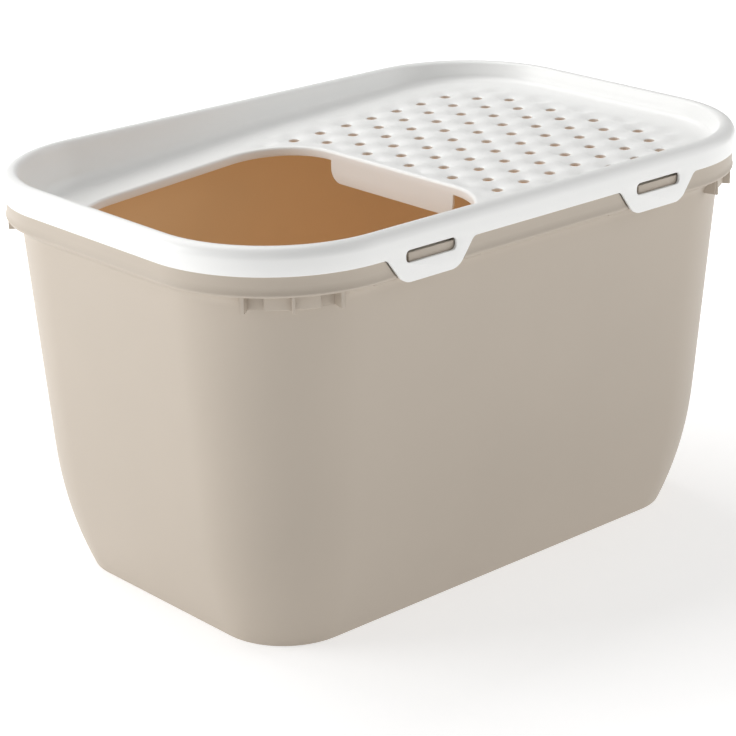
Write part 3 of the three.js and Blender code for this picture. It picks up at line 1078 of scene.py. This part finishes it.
def moulded_plastic(name, colour, grain_scale, grain, roughness, drift):
    """Injection-moulded plastic: a fine even grain, and slow drifts of colour and sheen."""
    flow_scale = 9.0
    bump_strength = 0.35
    duller, glossier = 0.05, 0.03
    material, tree, shader = new_material(name, colour)
    grains = add_noise(tree, grain_scale, 3.0, 0.6)
    flow = add_noise(tree, flow_scale, 2.0)
    add_bump(tree, shader, grains.outputs["Fac"], grain, bump_strength)
    vary_colour(tree, shader, colour, map_range(tree, flow.outputs["Fac"], 0.0, 1.0), drift)
    sheen = map_range(tree, grains.outputs["Fac"], roughness - glossier, roughness + duller)
    tree.links.new(sheen, shader.inputs["Roughness"])
    shader.inputs["IOR"].default_value = 1.49
    return material


def tub_materials(piece, colours):
    """Outside and inside of the tub, in the order of the shell's two skins."""
    outside = bpy.data.materials.get("tub_moulding") or moulded_plastic(
        "tub_moulding", colours.tub, grain_scale=1400, grain=0.00012, roughness=0.46, drift=0.012
    )
    inside = bpy.data.materials.get("tub_inside_moulding") or tub_inside_moulding(colours)
    piece.data.materials.append(outside)
    piece.data.materials.append(inside)


def tub_inside_moulding(colours):
    """The inside's plastic, with a faint painted glow that stands in for the light that comes
    through the walls.
    """
    inside = moulded_plastic(
        "tub_inside_moulding",
        colours.inside,
        grain_scale=1100,
        grain=0.00015,
        roughness=0.52,
        drift=0.03,
    )
    shader = inside.node_tree.nodes["Principled BSDF"]
    # painted light: the inside plastic glows a little in its own colour to look lit through the
    # walls
    shader.inputs["Emission Color"].default_value = (*colours.inside, 1)
    shader.inputs["Emission Strength"].default_value = 0.14
    return inside


def lid_materials(piece, colours):
    lid = bpy.data.materials.get("lid_moulding") or moulded_plastic(
        "lid_moulding", colours.lid, grain_scale=900, grain=0.00006, roughness=0.30, drift=0.006
    )
    piece.data.materials.append(lid)


# ---------------- the stage


STUDIO_LIGHTS = (
    ("key", 1.5, (-1.8, 1.4, 1.1)),
    ("fill", 2.0, (2.1, -1.6, 1.1)),
    ("top", 2.0, (0.0, 1.3, 2.3)),
)


def add_light(name, power, size, place, target):
    """A soft square light at a place, turned to a target."""
    light = bpy.data.lights.new(name, "AREA")
    light.energy = power
    light.size = size
    holder = bpy.data.objects.new(name, light)
    holder.location = place
    holder.rotation_euler = (Vector(target) - Vector(place)).to_track_quat("-Z", "Y").to_euler()
    bpy.context.collection.objects.link(holder)


def add_camera(studio):
    target = Vector((0, 0, studio.target_height))
    level = math.cos(studio.elevation)
    back = Vector(
        (
            math.sin(studio.azimuth) * level,
            -math.cos(studio.azimuth) * level,
            math.sin(studio.elevation),
        )
    )
    lens = bpy.data.cameras.new("studio_camera")
    lens.lens = studio.lens
    lens.shift_x = studio.shift_x
    lens.shift_y = studio.shift_y
    lens.clip_end = 50
    camera = bpy.data.objects.new("studio_camera", lens)
    turn = (-back).to_track_quat("-Z", "Y").to_matrix() @ Matrix.Rotation(studio.roll, 3, "Z")
    camera.matrix_world = Matrix.Translation(target + back * studio.distance) @ turn.to_4x4()
    bpy.context.collection.objects.link(camera)
    bpy.context.scene.camera = camera


def add_floor(colours):
    """A matt floor that grows brighter away from the box."""
    glow_inside, glow_outside = 0.50, 0.90
    glow_start, glow_end = 0.4, 1.5
    deselect_all()
    bpy.ops.mesh.primitive_plane_add(size=16)
    floor = bpy.context.object
    floor.name = "studio_floor"
    edit(floor)
    bpy.ops.mesh.subdivide(number_cuts=3)
    deselect_all()
    material, tree, shader = new_material("studio_floor", colours.floor)
    shader.inputs["Specular IOR Level"].default_value = 0.1
    shader.inputs["Roughness"].default_value = 0.8
    shader.inputs["Emission Color"].default_value = (1, 1, 1, 1)
    flow = add_noise(tree, 3.0, 2.0)
    vary_colour(tree, shader, colours.floor, map_range(tree, flow.outputs["Fac"], 0, 1), 0.004)
    place = tree.nodes.new("ShaderNodeTexCoord")
    distance = tree.nodes.new("ShaderNodeVectorMath")
    distance.operation = "LENGTH"
    tree.links.new(place.outputs["Object"], distance.inputs["Vector"])
    radius = distance.outputs["Value"]
    glow = map_range(tree, radius, glow_inside, glow_outside, glow_start, glow_end)
    tree.links.new(glow, shader.inputs["Emission Strength"])
    floor.data.materials.append(material)


def add_sky(strength):
    world = bpy.data.worlds.new("studio_sky")
    world.use_nodes = True
    background = world.node_tree.nodes["Background"]
    background.inputs["Color"].default_value = (1, 1, 1, 1)
    background.inputs["Strength"].default_value = strength
    bpy.context.scene.world = world


def build_stage(context):
    studio = context.scene.litter_box_studio
    add_camera(studio)
    add_floor(context.scene.litter_box_colours)
    add_sky(studio.sky)
    box_middle = (0, 0, 0.15)
    for name, size, place in STUDIO_LIGHTS:
        add_light(f"{name}_light", getattr(studio, name), size, place, box_middle)
    context.scene.view_settings.view_transform = "Standard"


# ---------------- add-on


class LITTERBOX_OT_tub(Operator):
    """Model the tub with its rim, pockets, catches and corner grips"""

    bl_idname = "litter_box.tub"
    bl_label = "Tub"

    def execute(self, context):
        build_tub(context)
        return {"FINISHED"}


class LITTERBOX_OT_lid(Operator):
    """Model the lid with its entry, apron and perforated deck"""

    bl_idname = "litter_box.lid"
    bl_label = "Lid"

    def execute(self, context):
        build_lid(context)
        return {"FINISHED"}


class LITTERBOX_OT_clips(Operator):
    """Model the four clip tabs of the lid"""

    bl_idname = "litter_box.clips"
    bl_label = "Clips"

    def execute(self, context):
        for face in CLIP_FACES:
            for end in CLIP_ENDS:
                build_clip(context, face, end)
        return {"FINISHED"}


class LITTERBOX_OT_stage(Operator):
    """Set up the camera, the floor and the lights"""

    bl_idname = "litter_box.stage"
    bl_label = "Stage"

    def execute(self, context):
        build_stage(context)
        return {"FINISHED"}


class LITTERBOX_PT_sidebar(Panel):
    """The litter box's tools in the sidebar"""

    bl_label = "Litter Box"
    bl_idname = "LITTERBOX_PT_sidebar"
    bl_space_type = "VIEW_3D"
    bl_region_type = "UI"
    bl_category = "Litter Box"

    def draw(self, context):
        for operator in OPERATORS:
            self.layout.operator(operator.bl_idname)
        for group in GROUPS:
            settings = getattr(context.scene, group)
            for name in settings.bl_rna.properties.keys():
                if name not in ("rna_type", "name"):
                    self.layout.prop(settings, name)


OPERATORS = (LITTERBOX_OT_tub, LITTERBOX_OT_lid, LITTERBOX_OT_clips, LITTERBOX_OT_stage)
GROUPS = {
    "litter_box_envelope": LitterBoxEnvelope,
    "litter_box_tub": LitterBoxTub,
    "litter_box_lid": LitterBoxLid,
    "litter_box_colours": LitterBoxColours,
    "litter_box_studio": LitterBoxStudio,
}
CLASSES = (*GROUPS.values(), *OPERATORS, LITTERBOX_PT_sidebar)


def register():
    for item in CLASSES:
        bpy.utils.register_class(item)
    for name, group in GROUPS.items():
        setattr(bpy.types.Scene, name, PointerProperty(type=group))


def unregister():
    for name in GROUPS:
        delattr(bpy.types.Scene, name)
    for item in reversed(CLASSES):
        bpy.utils.unregister_class(item)


def main():
    register()
    bpy.ops.litter_box.tub()
    bpy.ops.litter_box.lid()
    bpy.ops.litter_box.clips()
    bpy.ops.litter_box.stage()


if __name__ == "__main__":
    main()
